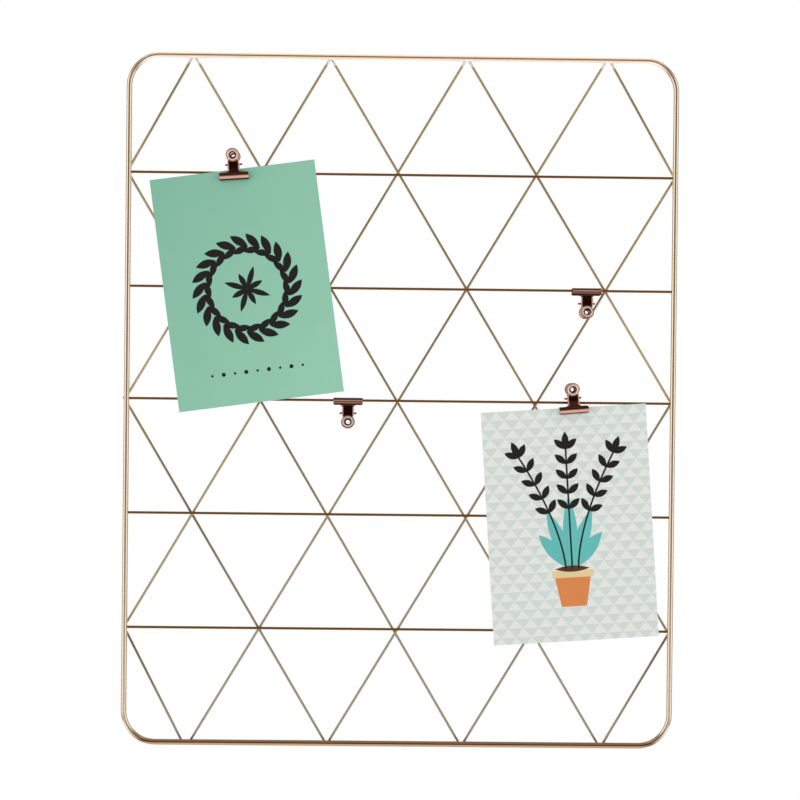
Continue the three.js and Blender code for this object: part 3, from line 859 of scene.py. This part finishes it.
def buildCard(node, printed):
    bm = bmesh.new()
    bmesh.ops.create_grid(bm, x_segments=card["columns"], y_segments=card["rows"], size=0.5)
    uvLayer = bm.loops.layers.uv.new("cardMap")
    for face in bm.faces:
        for loop in face.loops:
            loop[uvLayer].uv = (loop.vert.co.x + 0.5, loop.vert.co.y + 0.5)
    for vert in bm.verts:
        u, v = vert.co.x * card["width"], vert.co.y * card["height"]
        vert.co = (u, bowed(u, v) - card["thick"] / 2, v)
    front = set(bm.faces)
    wall = bmesh.ops.extrude_face_region(bm, geom=bm.faces[:], use_keep_orig=True)
    bmesh.ops.translate(bm, vec=(0, card["thick"], 0), verts=vertsOf(wall))
    for face in bm.faces:
        face.material_index = 0 if face in front else 1
    bmesh.ops.transform(bm, matrix=cardPlace(node), verts=bm.verts)
    makePiece(bm, cards[node]["piece"], node, [printed, cardBoard], [node])


buildCard("left_card", mintPrint)
buildCard("right_card", trianglePrint())
print("cards built")

# printed motifs: thin films of ink on the cards, one layer above another
film = {"thick": 0.012, "lift": 0.012, "layer": 0.02, "leafGap": 0.05, "leafSides": 28, "dotSides": 20}


def addLeaf(bm, u, v, angle, length, width):
    place = Matrix.Translation((u, v, 0)) @ Matrix.Rotation(math.radians(angle), 4, "Z")
    leaf = bmesh.ops.create_circle(bm, cap_ends=True, segments=film["leafSides"], radius=1)["verts"]
    for vert in leaf:
        x, y = vert.co.x, vert.co.y * abs(vert.co.y)
        vert.co = ((x + 1) * length / 2 + film["leafGap"], y * width / 2, 0)
    bmesh.ops.transform(bm, matrix=place, verts=leaf)


def addDot(bm, u, v, size):
    place = Matrix.Translation((u, v, 0))
    bmesh.ops.create_circle(bm, cap_ends=True, segments=film["dotSides"], radius=size / 2, matrix=place)


def addPatch(bm, low, high, lowHalf, highHalf):
    # an upright patch with its half widths at its foot and its top
    for vert in bmesh.ops.create_grid(bm, x_segments=1, y_segments=1, size=0.5)["verts"]:
        level, half = (high, highHalf) if vert.co.y > 0 else (low, lowHalf)
        vert.co = (vert.co.x * 2 * half, level, 0)


def addStroke(bm, points, width):
    steps = len(points) - 1
    for vert in bmesh.ops.create_grid(bm, x_segments=1, y_segments=steps, size=0.5)["verts"]:
        i = round((vert.co.y + 0.5) * steps)
        run = Vector(points[min(i + 1, steps)]) - Vector(points[max(i - 1, 0)])
        aside = run.normalized() * width * vert.co.x
        vert.co = (points[i][0] + aside.y, points[i][1] - aside.x, 0)


def printMotif(bm, motif, node, ink, layer=0):
    lift = card["thick"] / 2 + film["lift"] + layer * film["layer"]
    for vert in bm.verts:
        u, v = vert.co.x, vert.co.y
        vert.co = (u, bowed(u, v) - lift, v)
    wall = bmesh.ops.extrude_face_region(bm, geom=bm.faces[:], use_keep_orig=True)
    bmesh.ops.translate(bm, vec=(0, -film["thick"], 0), verts=vertsOf(wall))
    bmesh.ops.transform(bm, matrix=cardPlace(node), verts=bm.verts)
    makePiece(bm, cards[node]["piece"] + motif, node, [inkPrints[ink]])


# wreath of paired leaves round a star, over a row of dots.
# A pair has the lean of each leaf and its share of the size.
wreath = {
    "centre": (0, -2), "radius": 27, "leaves": 22, "length": 13, "width": 5.2,
    "pair": ((62, 1), (118, 0.82)),
    "rays": 8, "rayLengths": (11, 15), "rayWidth": 3.6,
    "dots": 9, "dotPitch": 7.2, "dotLevel": -54, "dotSizes": (1.6, 2.6),
}


def buildWreath():
    bm = bmesh.new()
    u, v = wreath["centre"]
    for i in range(wreath["leaves"]):
        turn = 360 * i / wreath["leaves"]
        leafU = u + wreath["radius"] * math.cos(math.radians(turn))
        leafV = v + wreath["radius"] * math.sin(math.radians(turn))
        for lean, size in wreath["pair"]:
            addLeaf(bm, leafU, leafV, turn + lean, wreath["length"] * size, wreath["width"] * size)
    for i in range(wreath["rays"]):
        turn = 360 * (i + 0.5) / wreath["rays"]
        addLeaf(bm, u, v, turn, wreath["rayLengths"][i % 2], wreath["rayWidth"])
    for i in range(wreath["dots"]):
        along = (i - (wreath["dots"] - 1) / 2) * wreath["dotPitch"]
        addDot(bm, along, wreath["dotLevel"], wreath["dotSizes"][i % 2])
    printMotif(bm, "Wreath", "left_card", "black")


buildWreath()

# potted plant: heights are above the foot of the pot. Leaves have turn and length.
plant = {
    "foot": -52, "potHigh": 19, "potHalves": (8, 11.5), "rim": (18.4, 23), "rimHalf": 13,
    "soilHigh": 24, "soilLength": 22, "soilWidth": 4,
    "leaves": ((48, 30), (69, 40), (111, 40), (132, 30), (90, 46)), "leafWidth": 9,
    "stemWidth": 1.1, "stemSteps": 16, "stemHigh": 76, "sideLower": 4, "sideStart": 4, "sideReach": 26,
    "sideCurve": 1.6, "sideLean": 22,
    "twigFrom": 8, "twigEvery": 2, "twigTurn": 48, "twigLeaf": (9.5, 4.2), "tipLeaf": (11, 4.4),
}


def addStem(bm, soil, side):
    steps = plant["stemSteps"]
    high = plant["stemHigh"] - plant["sideLower"] * abs(side)
    shares = [i / steps for i in range(steps + 1)]
    stem = [
        (side * (plant["sideStart"] + plant["sideReach"] * t ** plant["sideCurve"]), soil + high * t)
        for t in shares
    ]
    addStroke(bm, stem, plant["stemWidth"])
    lean = 90 - side * plant["sideLean"]
    for u, v in stem[plant["twigFrom"]::plant["twigEvery"]]:
        for turn in (plant["twigTurn"], -plant["twigTurn"]):
            addLeaf(bm, u, v, lean + turn, *plant["twigLeaf"])
    addLeaf(bm, *stem[-1], lean, *plant["tipLeaf"])


def buildPlant():
    foot = plant["foot"]
    soil = foot + plant["soilHigh"]
    bm = bmesh.new()
    addPatch(bm, foot, foot + plant["potHigh"], *plant["potHalves"])
    printMotif(bm, "Pot", "right_card", "orange")
    bm = bmesh.new()
    rimLow, rimHigh = plant["rim"]
    addPatch(bm, foot + rimLow, foot + rimHigh, plant["rimHalf"], plant["rimHalf"])
    printMotif(bm, "PotRim", "right_card", "cream", 1)
    bm = bmesh.new()
    for turn, length in plant["leaves"]:
        addLeaf(bm, 0, soil, turn, length, plant["leafWidth"])
    printMotif(bm, "Leaves", "right_card", "teal", 2)
    bm = bmesh.new()
    addLeaf(bm, -plant["soilLength"] / 2, soil, 0, plant["soilLength"], plant["soilWidth"])
    printMotif(bm, "Soil", "right_card", "brown", 3)
    bm = bmesh.new()
    for side in (-1, 0, 1):
        addStem(bm, soil, side)
    printMotif(bm, "Stems", "right_card", "black", 4)


buildPlant()
print("prints built")

# studio: pale floor well below the display, white all round, a dim room behind the camera.
# The room's limits are directions, from where it is not seen in the metal to where it is.
studio = {
    "floorZ": -0.82, "floorRadius": 1.0, "floorSides": 64, "floorFade": (0.35, 0.98),
    "floorColour": (0.82, 0.82, 0.82), "floorRough": 0.9, "white": (1, 1, 1), "ambient": 0.82,
    "walls": (0.36, 0.33, 0.30), "above": (0.95, 0.90, 0.84), "below": (1, 0.97, 0.93),
    "room": (0.16, 0.107, 0.067), "roomDepth": (0.92, 0.55), "roomSide": (0.62, 0.24),
    "roomLow": (-0.34, -0.08), "roomHigh": (0.70, 0.40),
}


def buildFloor():
    bm = bmesh.new()
    bmesh.ops.create_circle(bm, cap_ends=True, segments=studio["floorSides"], radius=studio["floorRadius"])
    bmesh.ops.translate(bm, vec=(0, 0, studio["floorZ"]), verts=bm.verts)
    mesh = bpy.data.meshes.new("floor")
    bm.to_mesh(mesh)
    bm.free()
    floor = bpy.data.objects.new("floor", mesh)
    scene.collection.objects.link(floor)
    material, tree, shader, place = newMaterial("floorPaper")
    feed(tree, shader.inputs["Base Color"], studio["floorColour"])
    shader.inputs["Roughness"].default_value = studio["floorRough"]
    # the floor fades to the white background at its rim
    flat = tree.nodes.new("ShaderNodeVectorMath")
    flat.operation = "MULTIPLY"
    flat.inputs[1].default_value = (1, 1, 0)
    tree.links.new(place, flat.inputs[0])
    fromMiddle = tree.nodes.new("ShaderNodeVectorMath")
    fromMiddle.operation = "LENGTH"
    tree.links.new(flat.outputs[0], fromMiddle.inputs[0])
    limits = [studio["floorRadius"] * share for share in studio["floorFade"]]
    fade = smoothMask(tree, fromMiddle.outputs["Value"], limits)
    path = tree.nodes.new("ShaderNodeLightPath").outputs
    seen = mathNode(tree, "MULTIPLY", fade, path["Is Camera Ray"])
    mirrored = mathNode(tree, "MAXIMUM", path["Is Glossy Ray"], path["Is Transmission Ray"])
    white = addNode(tree, "ShaderNodeEmission", Color=studio["white"], Strength=1)
    mixShaders(tree, mathNode(tree, "MAXIMUM", seen, mirrored), shader, white, "Material Output")
    mesh.materials.append(material)


def buildWorld():
    world = bpy.data.worlds.new("studio")
    scene.world = world
    world.use_nodes = True
    tree = world.node_tree
    ambient = tree.nodes["Background"]
    feed(tree, ambient.inputs["Color"], studio["white"])
    ambient.inputs["Strength"].default_value = studio["ambient"]
    path = tree.nodes.new("ShaderNodeLightPath").outputs
    direction = tree.nodes.new("ShaderNodeTexCoord").outputs["Generated"]
    x, y, z = addNode(tree, "ShaderNodeSeparateXYZ", Vector=direction).outputs
    # what the metal mirrors: white behind, pale walls at the sides, a dim room behind the camera
    ahead = mixColour(tree, smoothMask(tree, z, studio["roomHigh"]), studio["above"], studio["room"])
    ahead = mixColour(tree, smoothMask(tree, z, studio["roomLow"]), studio["below"], ahead)
    beside = smoothMask(tree, mathNode(tree, "ABSOLUTE", x), studio["roomSide"])
    ahead = mixColour(tree, beside, studio["walls"], ahead)
    depth = mathNode(tree, "MULTIPLY", smoothMask(tree, y, studio["roomDepth"]), path["Is Glossy Ray"])
    colour = mixColour(tree, depth, studio["white"], ahead)
    backdrop = addNode(tree, "ShaderNodeBackground", Color=colour, Strength=1)
    seen = mathNode(tree, "MAXIMUM", path["Is Camera Ray"], path["Is Glossy Ray"])
    seen = mathNode(tree, "MAXIMUM", seen, path["Is Transmission Ray"])
    mixShaders(tree, seen, ambient, backdrop, "World Output")


lampAim = (0, 0, -0.216)
softboxes = {
    "leftSoftbox": {"place": (-1.5, -0.95, -0.05), "size": (1.2, 1.8), "power": 6.2},
    "rightSoftbox": {"place": (1.5, -0.95, -0.05), "size": (1.2, 1.8), "power": 5.6},
}


def buildSoftboxes():
    for name, box in softboxes.items():
        light = bpy.data.lights.new(name, "AREA")
        light.shape = "RECTANGLE"
        light.size, light.size_y = box["size"]
        light.energy = box["power"]
        lamp = bpy.data.objects.new(name, light)
        lamp.location = box["place"]
        lamp.rotation_euler = (Vector(lampAim) - lamp.location).to_track_quat("-Z", "Y").to_euler()
        scene.collection.objects.link(lamp)


viewpoint = {
    "distance": 0.95, "aim": (-0.0001, 0, -0.2149), "azimuth": -0.6, "elevation": 0.4, "roll": 0.62,
    "lens": 67.4, "sensor": 36,
}


def buildCamera():
    azimuth = math.radians(viewpoint["azimuth"])
    elevation = math.radians(viewpoint["elevation"])
    level = math.cos(elevation)
    back = Vector((math.sin(azimuth) * level, -math.cos(azimuth) * level, math.sin(elevation)))
    data = bpy.data.cameras.new("camera")
    data.lens = viewpoint["lens"]
    data.sensor_width = viewpoint["sensor"]
    camera = bpy.data.objects.new("camera", data)
    place = Matrix.Translation(Vector(viewpoint["aim"]) + back * viewpoint["distance"])
    turn = (-back).to_track_quat("-Z", "Y").to_matrix().to_4x4()
    camera.matrix_world = place @ turn @ Matrix.Rotation(math.radians(viewpoint["roll"]), 4, "Z")
    scene.collection.objects.link(camera)
    scene.camera = camera


buildFloor()
buildWorld()
buildSoftboxes()
buildCamera()
scene.view_settings.view_transform = "Standard"
print("studio ready")
